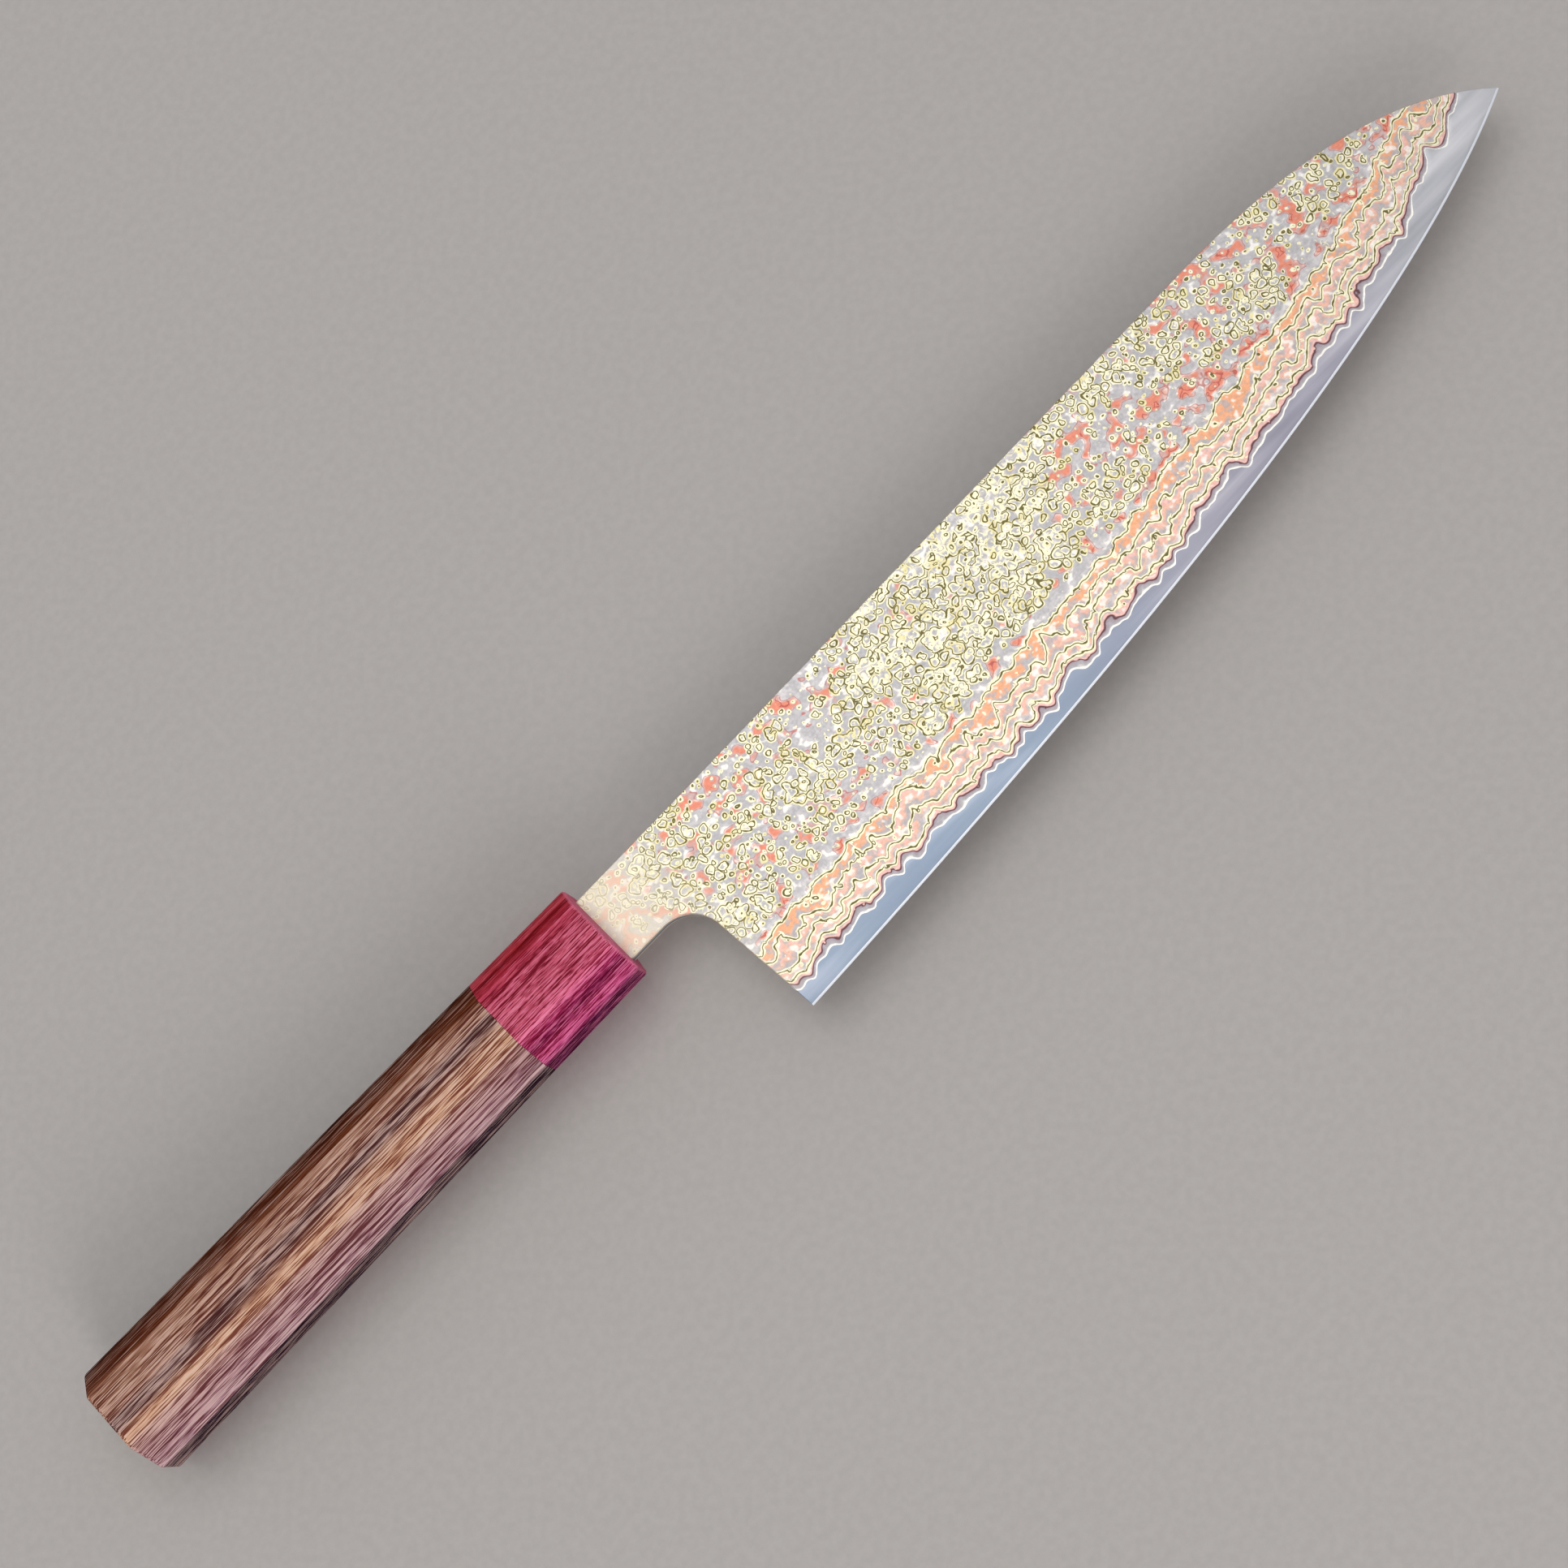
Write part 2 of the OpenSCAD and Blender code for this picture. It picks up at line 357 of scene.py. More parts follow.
def core_side(x, side):
    """Heights and half thicknesses up one side of the core, from the edge to the spine."""
    low, high, edge = lower_y(x), spine_y(x), edge_y(x)
    line = core_line(x, side)
    top = min(max(low, edge + line), high)
    near_top = high - np.array(END_ROWS[-1:0:-1]) * min(1, (high - low) / 4)
    below_rim = min(top, near_top[0])
    exposed = low + (below_rim - low) * np.array(EXPOSED_ROWS)
    exposed[1] = min(low + SHARPENED_HEIGHT / 2, top)
    exposed[2] = min(low + SHARPENED_HEIGHT, top)
    covered = np.linspace(below_rim, near_top[0], 5)[1:-1]
    y = np.sort(np.concatenate((exposed, covered, near_top, [top, high])))
    height = y - edge
    bare = eased(x, y, half_thickness(x, height))
    under = covered_half(x, y, line)
    at_line = np.abs(height - line) <= 1e-6
    half = np.where(height < line, bare, under)
    return y, np.where(at_line, np.minimum(bare, half), half)


def core_ring(x):
    right_y, right_z = core_side(x, 1)
    left_y, left_z = core_side(x, -1)
    right = [(x, y, z) for y, z in zip(right_y, right_z)]
    left = [(x, y, -z) for y, z in zip(left_y, left_z)]
    return right + left[::-1]


def cladding_ring(x, side):
    """One cross-section of a side's cladding, and the layer of the stack at each of its points."""
    edge, high = edge_y(x), spine_y(x)
    line = core_line(x, side)
    low = min(max(lower_y(x), edge + line), high)
    outer_y = rows_between(low, high, 34)
    inner_y = rows_between(low, high, 0)[::-1]
    outer_z = eased(x, outer_y, half_thickness(x, outer_y - edge))
    inner_z = covered_half(x, inner_y, line)
    start = half_thickness(x, line)
    depth = (outer_z - start) / (thickness(x) / 2 - start)
    points = [(x, y, side * z) for y, z in zip(outer_y, outer_z)]
    points += [(x, y, side * z) for y, z in zip(inner_y, inner_z)]
    return points, list(LAYERS * depth) + [0.0] * len(inner_y)


def make_core():
    columns = blade_columns()
    rings = [core_ring(x) for x in columns]
    heights = [[y - edge_y(x) for _, y, _ in ring] for x, ring in zip(columns, rings)]
    return loft("blade_core", rings, "height", heights, sharp_angle=40)


def make_cladding(name, side):
    rings, marks = [], []
    for x in blade_columns():
        if spine_y(x) - edge_y(x) - core_line(x, side) < LEAST_CLADDING_HEIGHT:
            break
        ring, layers = cladding_ring(x, side)
        rings.append(ring)
        marks.append(layers)
    return loft(name, rings, "layer", marks, sharp_angle=40)


# ---------------------------------------------------------------- handle

def octagon(x, inset):
    """The eight corners (y, z) of the handle at a place along it, made smaller by an inset."""
    back = -x / HANDLE_LENGTH
    height, width = (a + (b - a) * back for a, b in zip(FRONT_SIZE, BUTT_SIZE))
    top, side = height / 2 - inset, width / 2 - inset
    shoulder = height / 2 - CORNER_SHARES[0] * height
    flat = width / 2 - CORNER_SHARES[1] * width
    return [
        (top, flat), (shoulder, side), (-shoulder, side), (-top, flat),
        (-top, -flat), (-shoulder, -side), (shoulder, -side), (top, -flat),
    ]


def facet_marks():
    """Place of each outline point around the handle, in facets.

    The marks run from 1 at the top ridge to 4 at the bottom one, and are the same on both sides. The
    wood's bands paint light and shade on the facets by them.
    """
    ridges = (1, 2, 3, 4, 4, 3, 2, 1)
    turns = (1, 1, 1, 1, -1, -1, -1, -1)
    arc = np.linspace(-RIDGE_SHARE, RIDGE_SHARE, RIDGE_STEPS)
    return [ridge + turn * step for ridge, turn in zip(ridges, turns) for step in arc]


def rounded_octagon(x, inset=0.0):
    """The handle's outline at a place along it, with an arc on each ridge."""
    corners = [np.array(corner) for corner in octagon(x, inset)]
    ring = []
    for i, corner in enumerate(corners):
        back = corners[i - 1] - corner
        ahead = corners[(i + 1) % 8] - corner
        back, ahead = back / hypot(*back), ahead / hypot(*ahead)
        half_turn = (pi - np.arccos(back @ ahead)) / 2
        middle = (back + ahead) / hypot(*(back + ahead))
        across = (ahead - back) / hypot(*(ahead - back))
        centre = corner + middle * RIDGE_RADIUS / cos(half_turn)
        for t in np.linspace(-1, 1, RIDGE_STEPS):
            direction = across * sin(half_turn * t) - middle * cos(half_turn * t)
            y, z = centre + RIDGE_RADIUS * direction
            ring.append((x, y, z))
    return ring


def circle_ring(x):
    """Ring of the dowel's bore, with a point for each point of the octagon."""
    angles = [atan2(z, y) for _, y, z in rounded_octagon(x)]
    return [(x, DOWEL_RADIUS * cos(a), DOWEL_RADIUS * sin(a)) for a in angles]


def slot_ring(x):
    """Ring of the tang's slot in the ferrule's front wall."""
    half_y, half_z = SLOT_SIZE[0] / 2, SLOT_SIZE[1] / 2
    ring = []
    for _, y, z in rounded_octagon(x):
        reach = min(half_y / max(abs(y), 1e-6), half_z / max(abs(z), 1e-6))
        ring.append((x, y * reach, z * reach))
    for corner_y, corner_z in ((1, 1), (1, -1), (-1, 1), (-1, -1)):
        corner = (x, corner_y * half_y, corner_z * half_z)
        gaps = [hypot(y - corner[1], z - corner[2]) for _, y, z in ring]
        ring[gaps.index(min(gaps))] = corner
    return ring


def rounded_end(x, radius, direction, steps=5):
    """Rings that round the handle's outline over at an end, from the end face outwards."""
    turns = np.linspace(0, pi / 2, steps)
    return [
        rounded_octagon(x + direction * radius * (1 - cos(a)), radius * (1 - sin(a)))
        for a in turns
    ]


def make_ferrule():
    rings = rounded_end(0, FRONT_ROUNDING, -1)
    rings += [
        rounded_octagon(x)
        for x in np.linspace(-FRONT_ROUNDING, -FERRULE_LENGTH + JOINT_ROUNDING, 6)[1:-1]
    ]
    rings += rounded_end(-FERRULE_LENGTH, JOINT_ROUNDING, 1, 3)[::-1]
    rings += [circle_ring(-FERRULE_LENGTH), circle_ring(-FRONT_WALL)]
    rings += [slot_ring(-FRONT_WALL), slot_ring(0)]
    return loft("ferrule_shell", rings, "facet", [facet_marks()] * len(rings), wrap=True)


def make_handle_body():
    rings = rounded_end(-HANDLE_LENGTH, BUTT_ROUNDING, 1, 6)
    rings += [
        rounded_octagon(x)
        for x in np.linspace(BUTT_ROUNDING - HANDLE_LENGTH, -FERRULE_LENGTH - JOINT_ROUNDING, 14)[1:-1]
    ]
    rings += rounded_end(-FERRULE_LENGTH, JOINT_ROUNDING, -1, 3)[::-1]
    rings += [circle_ring(-FERRULE_LENGTH), circle_ring(-DOWEL_END)]
    return loft("handle_shell", rings, "facet", [facet_marks()] * len(rings))


# ---------------------------------------------------------------- materials

def srgb(red, green, blue):
    """A screen colour, from 0 to 255, as the linear colour that shaders take."""
    def linear(value):
        value /= 255
        return value / 12.92 if value <= 0.04045 else ((value + 0.055) / 1.055) ** 2.4

    return (linear(red), linear(green), linear(blue), 1.0)


class Graph:
    """A new material's nodes, with short ways to add to them. Lengths are in millimetres."""

    def __init__(self, name):
        self.material = bpy.data.materials.new(name)
        self.material.use_nodes = True
        self.tree = self.material.node_tree
        self.tree.nodes.clear()
        self.place = self.add("ShaderNodeTexCoord").outputs["Object"]

    def add(self, kind, inputs=None, **settings):
        """Adds a node. An input is a number, a colour or a socket to link to it."""
        node = self.tree.nodes.new(kind)
        for key, value in settings.items():
            setattr(node, key, value)
        for key, value in (inputs or {}).items():
            if isinstance(value, bpy.types.NodeSocket):
                self.tree.links.new(value, node.inputs[key])
            else:
                node.inputs[key].default_value = value
        return node

    def math(self, operation, *values):
        return self.add("ShaderNodeMath", dict(enumerate(values)), operation=operation).outputs[0]

    def total(self, *terms):
        """Sum of (factor, value) pairs."""
        result = 0.0
        for factor, value in terms:
            result = self.math("MULTIPLY_ADD", value, factor, result)
        return result

    def vector(self, operation, first, second):
        node = self.add("ShaderNodeVectorMath", {0: first, 1: second}, operation=operation)
        return node.outputs[0]

    def sized(self, place, length, height, depth=None):
        """Place counted in features of these sizes along x, y and z."""
        depth = depth or height
        return self.vector("MULTIPLY", place, (1 / (length * MM), 1 / (height * MM), 1 / (depth * MM)))

    def noise(self, place, detail=1.0, roughness=0.5, flat=False):
        """Smooth noise about zero, with features of size 1."""
        node = self.add("ShaderNodeTexNoise", {
            "Vector": place, "Scale": 1.0, "Detail": detail, "Roughness": roughness,
        }, noise_dimensions="2D" if flat else "3D")
        return self.math("SUBTRACT", node.outputs["Fac"], 0.5)

    def fade(self, value, start, end, low=0.0, high=1.0):
        """Goes smoothly from low, where value is start, to high, where it is end."""
        return self.add("ShaderNodeMapRange", {
            "Value": value, "From Min": start, "From Max": end, "To Min": low, "To Max": high,
        }, interpolation_type="SMOOTHSTEP").outputs["Result"]

    def ramp(self, value, stops):
        """Colour for a value from 0 to 1, from (position, colour) stops."""
        node = self.add("ShaderNodeValToRGB", {"Fac": value})
        elements = node.color_ramp.elements
        for i, (position, colour) in enumerate(stops):
            element = elements[i] if i < 2 else elements.new(1.0)
            element.position = position
            element.color = colour
        return node.outputs["Color"]

    def mix(self, share, first, second, blend="MIX"):
        node = self.add("ShaderNodeMix", data_type="RGBA", blend_type=blend)
        for key, value in (("Factor_Float", share), ("A_Color", first), ("B_Color", second)):
            socket = next(s for s in node.inputs if s.identifier == key)
            if isinstance(value, bpy.types.NodeSocket):
                self.tree.links.new(value, socket)
            else:
                socket.default_value = value
        return next(s for s in node.outputs if s.identifier == "Result_Color")

    def finish(self, colour, roughness, metallic, height, relief, **constants):
        """Ends the graph with the surface's shader. relief is the depth of the bumps of height 1."""
        bump = self.add("ShaderNodeBump", {"Height": height, "Distance": relief * MM, "Strength": 1.0})
        shader = self.add("ShaderNodeBsdfPrincipled", {
            "Base Color": colour, "Roughness": roughness, "Metallic": metallic,
            "Normal": bump.outputs["Normal"],
        })
        for key, value in constants.items():
            shader.inputs[key].default_value = value
        output = self.add("ShaderNodeOutputMaterial", {"Surface": shader.outputs["BSDF"]})
        output.is_active_output = True
        return self.material


WHITE = srgb(248, 245, 238)
SILVER = srgb(182, 180, 182)
PALE_GREY = srgb(208, 204, 204)
MAUVE = srgb(170, 156, 164)
PLUM = srgb(108, 74, 80)
PINK = srgb(240, 192, 182)
CREAM = srgb(246, 240, 204)
BRASS = srgb(226, 214, 150)
OLIVE = srgb(114, 106, 60)
PEACH = srgb(238, 188, 164)
ORANGE = srgb(240, 176, 136)
CORAL = srgb(228, 144, 120)
RED = srgb(196, 104, 96)
NECK_CREAM = srgb(218, 209, 189)

# Every sheet's joint shows as a dark line in a light halo, at these depths in layers of the stack.
FIRST_JOINT = 1.65
JOINT_SPACING = 1.5
# Depth of the blade's flat part before its mounds and dimples, just short of the sixth joint
FLAT_DEPTH = FIRST_JOINT + 5 * JOINT_SPACING - 0.15
# Half widths of the lines and halos in millimetres
JOINT_HALF = 0.1
HALO_HALF = 0.45
# Depths over which joint lines, halos and clouds set in, beyond the sheets next to the core
JOINTS_START = (1.0, 1.2)
# Depths over which the copper sets in and ends
COPPER_START = (6.8, 7.25)
COPPER_END = (8.3, 8.75)
# Depths over which the halos may turn to brass
BRASS_START = (8.0, 8.6)

# Soft colours between the joints, by depth in layers from the core outwards
SHEET_COLOURS = (
    (0.00, WHITE), (0.20, WHITE), (0.26, SILVER), (0.62, MAUVE), (0.69, PLUM), (0.83, PLUM),
    (0.91, PINK), (1.30, PINK), (1.40, PEACH), (2.10, PALE_GREY), (2.50, PEACH), (2.95, PINK),
    (3.50, SILVER), (3.90, PEACH), (4.30, PINK), (4.95, SILVER), (5.20, ORANGE), (5.75, ORANGE),
    (6.10, PEACH), (6.55, SILVER), (7.00, PALE_GREY), (8.80, SILVER), (9.20, CREAM),
    (9.45, PALE_GREY), (9.90, SILVER), (10.2, CREAM),
)
DEEPEST_LAYER = 12.0

# The stack's slope is taken between places this many millimetres apart, and is at least LEAST_SLOPE.
SLOPE_STEP = 0.06
LEAST_SLOPE = 0.3
# Layers climbed per millimetre of height at the core line, and the power by which that falls off
CLIMB = 0.72
CLIMB_POWER = 0.565
# Moves the small dimples away from the large ones
PIP_SHIFT = (0.11, 0.07, 0)


def knife_x(graph):
    """Distance in millimetres from the ferrule's front face."""
    x = graph.add("ShaderNodeSeparateXYZ", {"Vector": graph.place}).outputs["X"]
    return graph.math("DIVIDE", graph.math("SUBTRACT", x, ORIGIN.x), MM)


def mid_blade(graph):
    """1 at mid length, where brass shows more and copper less, and 0 at both ends of the blade."""
    x = knife_x(graph)
    return graph.math("MULTIPLY", graph.fade(x, 55.0, 85.0), graph.fade(x, 150.0, 115.0))


def wobbled(graph, place):
    """Place moved a little to and fro, so that what is drawn there is uneven."""
    wobble = graph.add("ShaderNodeTexNoise", {
        "Vector": graph.sized(place, 2.6, 2.6), "Scale": 1.0, "Detail": 1.0,
    }, noise_dimensions="2D").outputs["Color"]
    wobble = graph.vector("SUBTRACT", wobble, (0.5, 0.5, 0.5))
    return graph.vector("ADD", place, graph.vector("MULTIPLY", wobble, (1.5 * MM, 1.5 * MM, 0)))


def dimples(graph, spot, size, largest):
    """Distance in millimetres inside the rim of the nearest round dimple, of radius up to largest."""
    cells = graph.add("ShaderNodeTexVoronoi", {
        "Vector": graph.sized(spot, size, size), "Scale": 1.0, "Smoothness": 0.22, "Randomness": 0.95,
    }, voronoi_dimensions="2D", feature="SMOOTH_F1")
    share = graph.add("ShaderNodeSeparateColor", {"Color": cells.outputs["Color"]}).outputs["Red"]
    return graph.total((largest, share), (-size, cells.outputs["Distance"]))


def stack_depth(graph, place, layer):
    """Depth in layers that grinding has reached in the stack, which is rippled and full of dimples.

    Sizes are in millimetres, and the factors of the sums are heights in layers.
    """
    spot = wobbled(graph, place)
    swell = graph.noise(graph.sized(spot, 5.5, 9.0), flat=True)
    ripple = graph.noise(graph.sized(spot, 2.8, 3.8), flat=True)
    slow = graph.noise(graph.sized(place, 26.0, 15.0), flat=True)
    mound = graph.noise(graph.sized(spot, 4.2, 3.6), flat=True)
    dimple = dimples(graph, spot, 2.4, 1.1)
    pip = dimples(graph, graph.vector("ADD", spot, PIP_SHIFT), 2.9, 0.42)
    pit = graph.math("MAXIMUM", graph.math("MAXIMUM", dimple, pip), -0.8)
    small_pit = graph.math("MAXIMUM", graph.total((1.0, pip), (1.0, 0.3)), 0.0)
    waves = graph.total((3.2, swell), (0.8, ripple), (0.8, small_pit))
    islands = graph.total(
        (2.5, slow), (1.5, mound), (1.0, pit), (0.65, mid_blade(graph)),
        (1.0, FLAT_DEPTH - LAYERS),
    )
    calm = graph.math("MULTIPLY", graph.fade(layer, 0.0, 1.4), graph.fade(layer, 6.8, 5.6, 0.35, 1.0))
    return graph.total(
        (1.0, layer),
        (1.0, graph.math("MULTIPLY", waves, calm)),
        (1.0, graph.math("MULTIPLY", islands, graph.fade(layer, 5.5, 6.5))),
    )


def joint_gap(graph, place, layer, depth):
    """Distance in millimetres along the surface to the nearest joint between sheets."""
    flatness = graph.math("MAXIMUM", graph.total((-1 / LAYERS, layer), (1.0, 1.0)), 0.0)
    climb = graph.math("MULTIPLY", graph.math("POWER", flatness, CLIMB_POWER), CLIMB * SLOPE_STEP)
    ahead = stack_depth(graph, graph.vector("ADD", place, (SLOPE_STEP * MM, 0, 0)), layer)
    higher = graph.vector("ADD", place, (0, SLOPE_STEP * MM, 0))
    above = stack_depth(graph, higher, graph.math("ADD", layer, climb))
    steps = [graph.math("SUBTRACT", moved, depth) for moved in (ahead, above)]
    squares = [graph.math("MULTIPLY", step, step) for step in steps]
    slope = graph.math("DIVIDE", graph.math("SQRT", graph.math("ADD", *squares)), SLOPE_STEP)
    offset = graph.math("PINGPONG", graph.math("SUBTRACT", depth, FIRST_JOINT), JOINT_SPACING / 2)
    return graph.math("DIVIDE", offset, graph.math("MAXIMUM", slope, LEAST_SLOPE))


def clouded_sheets(graph, place, depth, beyond_core):
    """Colour of the sheets by depth, with grey and white clouds."""
    share = graph.math("DIVIDE", depth, DEEPEST_LAYER)
    stops = [(position / DEEPEST_LAYER, value) for position, value in SHEET_COLOURS]
    cloud = graph.noise(graph.sized(place, 2.3, 2.0), flat=True)
    grey = graph.math("MULTIPLY", graph.fade(cloud, -0.03, -0.18, 0.0, 0.75), beyond_core)
    white = graph.math("MULTIPLY", graph.fade(cloud, 0.06, 0.2, 0.0, 0.75), beyond_core)
    return graph.mix(white, graph.mix(grey, graph.ramp(share, stops), SILVER), WHITE)


def add_copper(graph, place, colour, zone):
    """Copper patches with darker rims over a colour. Returns the new colour and the patches' share."""
    patch = graph.noise(graph.sized(place, 4.6, 3.8), flat=True)
    patch = graph.total((1.0, patch), (-0.08, mid_blade(graph)))
    from_rim = graph.math("ABSOLUTE", graph.math("SUBTRACT", patch, 0.03))
    rim = graph.math("MULTIPLY", zone, graph.fade(from_rim, 0.02, 0.004, 0.0, 0.75))
    copper = graph.math("MULTIPLY", zone, graph.fade(patch, 0.0, 0.15))
    return graph.mix(rim, graph.mix(copper, colour, CORAL), RED), copper


def halo_colour(graph, place, depth):
    """Cream, in places turning to brass beyond the depth where the brass starts."""
    patch = graph.noise(graph.sized(place, 5.0, 4.0), flat=True)
    deep = graph.fade(depth, *BRASS_START)
    brassy = graph.math("MULTIPLY", graph.fade(patch, 0.02, 0.18, 0.0, 0.7), deep)
    return graph.mix(brassy, CREAM, BRASS)


def joint_lines(graph, place, gap):
    """Share of the dark lines, which swell in places."""
    swollen = graph.math("MAXIMUM", graph.noise(graph.sized(place, 1.7, 1.7), flat=True), 0.0)
    half = graph.total((0.6, swollen), (1.0, JOINT_HALF))
    return graph.fade(graph.math("SUBTRACT", gap, half), 0.05, -0.05)


def damascus(name, shift):
    """Ground and etched cladding: dark joints in light halos, and soft colours between them."""
    graph = Graph(name)
    place = graph.vector("ADD", graph.place, shift)
    layer = graph.add("ShaderNodeAttribute", attribute_name="layer").outputs["Fac"]
    depth = stack_depth(graph, place, layer)
    gap = joint_gap(graph, place, layer, depth)
    beyond_core = graph.fade(depth, *JOINTS_START)

    colour = clouded_sheets(graph, place, depth, beyond_core)
    copper_ends = graph.fade(depth, *reversed(COPPER_END))
    zone = graph.math("MULTIPLY", graph.fade(depth, *COPPER_START), copper_ends)
    bare = graph.math("SUBTRACT", 1.0, zone)
    colour, copper = add_copper(graph, place, colour, zone)
    halo = graph.math("MULTIPLY", graph.fade(gap, HALO_HALF + 0.1, HALO_HALF - 0.05), beyond_core)
    colour = graph.mix(graph.math("MULTIPLY", halo, bare), colour, halo_colour(graph, place, depth))
    lines = graph.math("MULTIPLY", joint_lines(graph, place, gap), beyond_core)
    lines = graph.math("MULTIPLY", lines, graph.math("ADD", bare, copper))
    colour = graph.mix(lines, colour, graph.mix(copper, OLIVE, RED))

    brushing = graph.noise(graph.sized(place, 9.0, 0.12, 0.5), detail=2)
    mottle = graph.noise(graph.sized(place, 0.7, 0.7), detail=2)
    shade = graph.total((0.3, brushing), (0.5, mottle), (1.0, 0.94))
    colour = graph.mix(1.0, colour, shade, "MULTIPLY")
    colour = graph.mix(graph.fade(knife_x(graph), 27.0, 3.0, 0.0, 0.72), colour, NECK_CREAM)
    etch = graph.add("ShaderNodeRGBToBW", {"Color": colour}).outputs["Val"]
    roughness = graph.total((0.16, brushing), (-0.1, etch), (1.0, 0.46))
    height = graph.total((1.0, etch), (0.3, brushing))
    return graph.finish(colour, roughness, 0.7, height, 0.02)


# Dark, usual and bright tones of the core steel at the heel, at mid length and at the tip
HEEL_TONES = (srgb(130, 143, 162), srgb(137, 150, 168), srgb(160, 170, 186))
MIDDLE_TONES = (srgb(128, 126, 138), srgb(147, 146, 158), srgb(170, 168, 178))
TIP_TONES = (srgb(162, 164, 170), srgb(188, 189, 193), srgb(210, 210, 213))
TONE_PLACES = (0.2, 0.55, 0.85)


def core_finish(name):
    """Bare core steel: satin, bluish at the heel, paler at the tip, with a near-white sharpened strip
    that is partly polish and partly painted highlight.
    """
    graph = Graph(name)
    brushing = graph.noise(graph.sized(graph.place, 14.0, 0.1, 0.4), detail=3)
    cloud = graph.noise(graph.sized(graph.place, 40.0, 4.0), detail=2)
    share = graph.total((1.5, cloud), (0.35, brushing), (1.0, 0.5))
    heel, middle, tip = (
        graph.ramp(share, list(zip(TONE_PLACES, tones)))
        for tones in (HEEL_TONES, MIDDLE_TONES, TIP_TONES)
    )
    x = knife_x(graph)
    colour = graph.mix(graph.fade(x, 90.0, 155.0), heel, middle)
    colour = graph.mix(graph.fade(x, 190.0, 242.0), colour, tip)
    height = graph.add("ShaderNodeAttribute", attribute_name="height").outputs["Fac"]
    # The sharpened strip is near white: partly its own polish, partly a painted highlight.
    sharpened_polish_and_highlight = graph.fade(height, SHARPENED_HEIGHT + 0.1, SHARPENED_HEIGHT - 0.05)
    colour = graph.mix(sharpened_polish_and_highlight, colour, srgb(240, 244, 250))
    roughness = graph.total((0.25, brushing), (1.0, 0.34))
    return graph.finish(colour, roughness, 0.85, brushing, 0.012)


# End of the scale of the bands around the handle, which hold the wood's colours and painted light and
# shade on the facets
LAST_BAND = 3.2
# How much stronger the streaks are on the lower facets, where the pale streaks are partly a painted
# sheen
LOWER_CONTRAST = 2.15
# Oiled wood is nearly matt: more sheen than this washes out its dark streaks
WOOD_SHEEN = 0.005


def band_colour_with_painted_light(graph, facet, x, stripe, bands_with_painted_light, drift):
    """Colour of the bands around the handle, which the stripes shift a little: the wood's own colours
    with painted shade and painted sheen on the facets.
    """
    back = graph.fade(x, -FERRULE_LENGTH * MM, -HANDLE_LENGTH * MM, 0.0, -drift)
    broad = graph.math("MULTIPLY", graph.fade(facet, 2.04, 2.3), graph.fade(facet, 2.98, 2.7))
    around = graph.total((1.0, facet), (0.12, stripe), (back, broad), (1.0, -1.0))
    stops = [(position / LAST_BAND, value) for position, value in bands_with_painted_light]
    return graph.ramp(graph.math("DIVIDE", around, LAST_BAND), stops)


def streaked_wood(name, bands_with_painted_light, dark, light, rough, contrast, length, drift=0.0):
    """Open-grained wood with streaks along the handle.

    The bands are the colours around the handle, by the facet attribute less one: from the top ridge at
    0, over the right face's ridges at 1 and 2, to the bottom ridge at 3. Besides the wood's own colours
    they
    paint light and shade: the upper chamfer and the bottom facet darker as painted shade, the main
    facet and the lower chamfer paler as partly painted sheen, and painted highlights along ridges.
    contrast is the strength of the streaks and length is their length. drift moves the lower bands down
    towards the butt.
    """
    graph = Graph(name)
    local = graph.vector("SUBTRACT", graph.place, tuple(ORIGIN))
    facet = graph.add("ShaderNodeAttribute", attribute_name="facet").outputs["Fac"]
    stripe = graph.noise(graph.sized(local, 46.0, 1.0), detail=2, roughness=0.55)
    streak = graph.noise(graph.sized(local, length, 0.34), detail=2, roughness=0.6)
    fibre = graph.noise(graph.sized(local, 0.25 * length, 0.17), detail=1)
    pores = graph.noise(graph.sized(local, 3.0, 0.26), detail=1)
    x = graph.add("ShaderNodeSeparateXYZ", {"Vector": local}).outputs["X"]
    colour = band_colour_with_painted_light(graph, facet, x, stripe, bands_with_painted_light, drift)
    grain = graph.total((0.5, stripe), (1.0, streak), (0.55, fibre))
    strength = graph.fade(facet, 2.05, 2.3, contrast, LOWER_CONTRAST * contrast)
    grain = graph.math("MULTIPLY", grain, strength)
    colour = graph.mix(graph.fade(grain, 0.0, -0.13, 0.0, 0.9), colour, dark, "MULTIPLY")
    bright = graph.mix(0.6, colour, light, "SCREEN")
    colour = graph.mix(graph.fade(grain, 0.03, 0.17, 0.0, 0.8), colour, bright)
    pore = graph.fade(pores, 0.17, 0.3)
    colour = graph.mix(graph.math("MULTIPLY", pore, 0.4), colour, dark, "MULTIPLY")
    # Painted highlight: within 0.8 mm of the ferrule's front face the colour turns towards the pale
    # streak colour, for light caught on the rounded front rim.
    colour = graph.mix(graph.fade(x, -0.8 * MM, -0.1 * MM, 0.0, 0.6), colour, light)
    height = graph.total((0.5, stripe), (1.0, streak), (0.6, fibre), (-0.5, pore))
    roughness = graph.total((0.3, pore), (-0.2, streak), (1.0, rough))
    return graph.finish(colour, roughness, 0.0, height, 0.06, **{"Specular IOR Level": WOOD_SHEEN})


